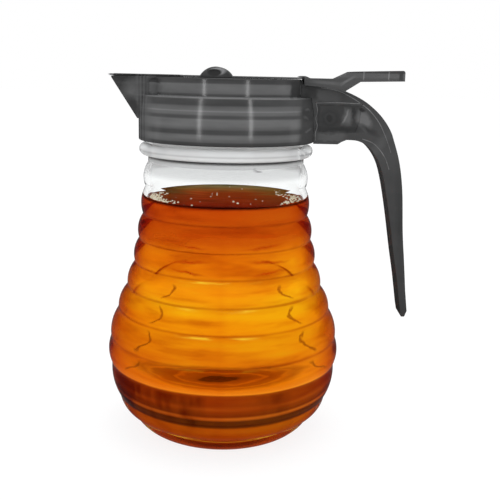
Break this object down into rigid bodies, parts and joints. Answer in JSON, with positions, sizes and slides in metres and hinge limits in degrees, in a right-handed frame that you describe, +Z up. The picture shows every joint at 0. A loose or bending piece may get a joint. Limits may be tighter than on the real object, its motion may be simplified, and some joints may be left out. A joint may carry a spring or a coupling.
{
  "type": "honey dispenser",
  "caption": "Ribbed beehive glass jar of honey with a screw-on pouring head, a side handle and a thumb lever that draws back a sliding shut-off blade.",
  "frame": {"origin": "centre of the jar's flat base, on the jar's axis", "axes": "+Z up along the jar's axis, the spout points to -X and the handle to +X, +Y is the far side in the picture"},
  "size_m": [0.123, 0.0952, 0.1478],
  "materials": {
    "clear_glass": "clear soda-lime glass, smooth and glossy",
    "honey": "clear amber honey, a thick liquid",
    "seal_rubber": "soft food-safe sealing ring, matt",
    "smoke_plastic": "smoky dark grey moulded plastic, glossy",
    "bright_steel": "bright stainless steel",
    "blade_steel": "polished stainless steel with a fine grain along the blade"
  },
  "bodies": {
    "jar": {"glass_jar": "clear_glass", "honey_fill": "honey"},
    "liner": {"jar_gasket": "seal_rubber"},
    "head": {"cap_body": "smoke_plastic", "blade_keeper": "smoke_plastic", "spring_pin": "bright_steel", "return_spring": "bright_steel", "handle": "smoke_plastic", "handle_screw": "bright_steel"},
    "gate": {"slide_blade": "blade_steel", "thumb_lever": "smoke_plastic", "blade_rivets": "bright_steel"}
  },
  "joints": [
    {"name": "head_lift", "type": "slide", "parent": "jar", "child": "liner", "axis": [0, 0, 1], "range_m": [0, 0.017]},
    {"name": "head_turn", "type": "hinge", "parent": "liner", "child": "head", "pos_m": [0, 0, 0.1342], "axis": [0, 0, 1], "range_deg": [0, 1440]},
    {"name": "gate_slide", "type": "slide", "parent": "head", "child": "gate", "axis": [1, 0, 0], "range_m": [0, 0.013], "stiffness_N_per_m": 200, "springref_m": -0.012, "deforming": ["return_spring"]}
  ],
  "couplings": [
    {"joint": "head_lift", "follows": "head_turn", "m_per_rad": 0.00067375}
  ]
}
